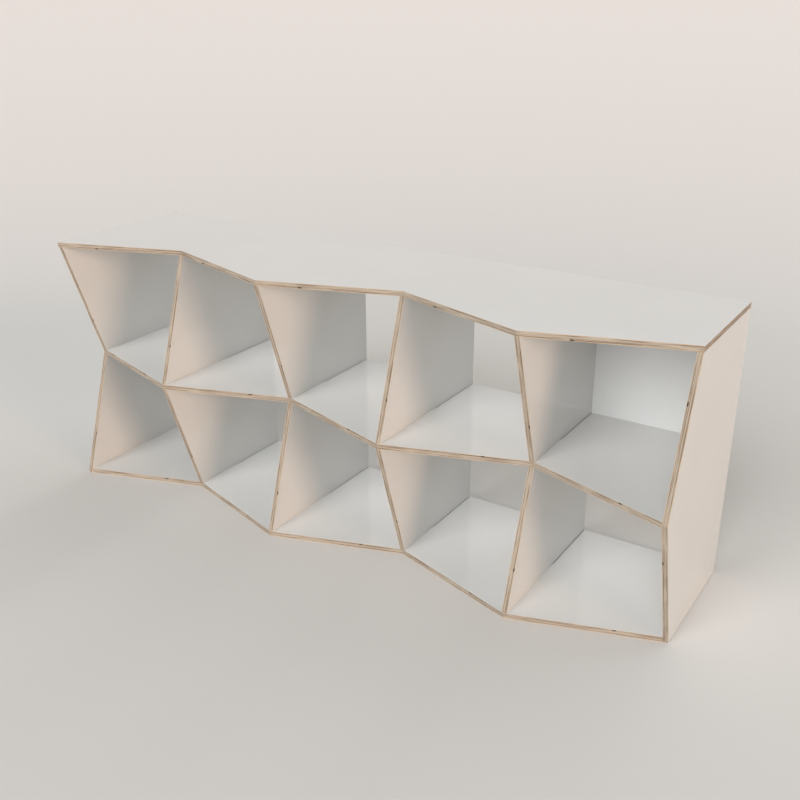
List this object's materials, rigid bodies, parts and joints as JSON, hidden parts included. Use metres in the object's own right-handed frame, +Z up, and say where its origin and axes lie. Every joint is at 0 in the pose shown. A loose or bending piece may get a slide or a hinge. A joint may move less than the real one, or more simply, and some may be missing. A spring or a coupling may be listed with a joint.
{
  "type": "zigzag bookshelf",
  "caption": "Low open bookshelf of white-faced birch plywood; shelves and uprights cross in halving joints and their front edges zigzag in and out, so each cell leans its own way.",
  "frame": {"origin": "on the floor, under the middle of the shelf's overall box", "axes": "+X along the shelf to its right end, +Y from the zigzag front to the flat back, +Z up"},
  "size_m": [2, 0.52, 0.805],
  "materials": {
    "white_laminate": "white high-pressure laminate, satin",
    "birch_plywood": "bare birch plywood edge, clear oiled",
    "beech": "plain beech dowel"
  },
  "bodies": {
    "root": {"bottom_panel_core": "birch_plywood", "bottom_panel_dowels": "beech", "bottom_panel_lower_laminate": "white_laminate", "bottom_panel_upper_laminate": "white_laminate", "inner_upright_1_core": "birch_plywood", "inner_upright_1_left_laminate": "white_laminate", "inner_upright_1_right_laminate": "white_laminate", "inner_upright_2_core": "birch_plywood", "inner_upright_2_left_laminate": "white_laminate", "inner_upright_2_right_laminate": "white_laminate", "inner_upright_3_core": "birch_plywood", "inner_upright_3_left_laminate": "white_laminate", "inner_upright_3_right_laminate": "white_laminate", "inner_upright_4_core": "birch_plywood", "inner_upright_4_left_laminate": "white_laminate", "inner_upright_4_right_laminate": "white_laminate", "left_end_panel_core": "birch_plywood", "left_end_panel_inner_laminate": "white_laminate", "left_end_panel_outer_laminate": "white_laminate", "lower_back_panel_back_laminate": "white_laminate", "lower_back_panel_core": "birch_plywood", "lower_back_panel_dowels": "beech", "lower_back_panel_front_laminate": "white_laminate", "middle_shelf_core": "birch_plywood", "middle_shelf_dowels": "beech", "middle_shelf_lower_laminate": "white_laminate", "middle_shelf_upper_laminate": "white_laminate", "right_end_panel_core": "birch_plywood", "right_end_panel_inner_laminate": "white_laminate", "right_end_panel_outer_laminate": "white_laminate", "top_panel_core": "birch_plywood", "top_panel_dowels": "beech", "top_panel_lower_laminate": "white_laminate", "top_panel_upper_laminate": "white_laminate", "upper_back_panel_back_laminate": "white_laminate", "upper_back_panel_core": "birch_plywood", "upper_back_panel_dowels": "beech", "upper_back_panel_front_laminate": "white_laminate"}
  },
  "joints": []
}
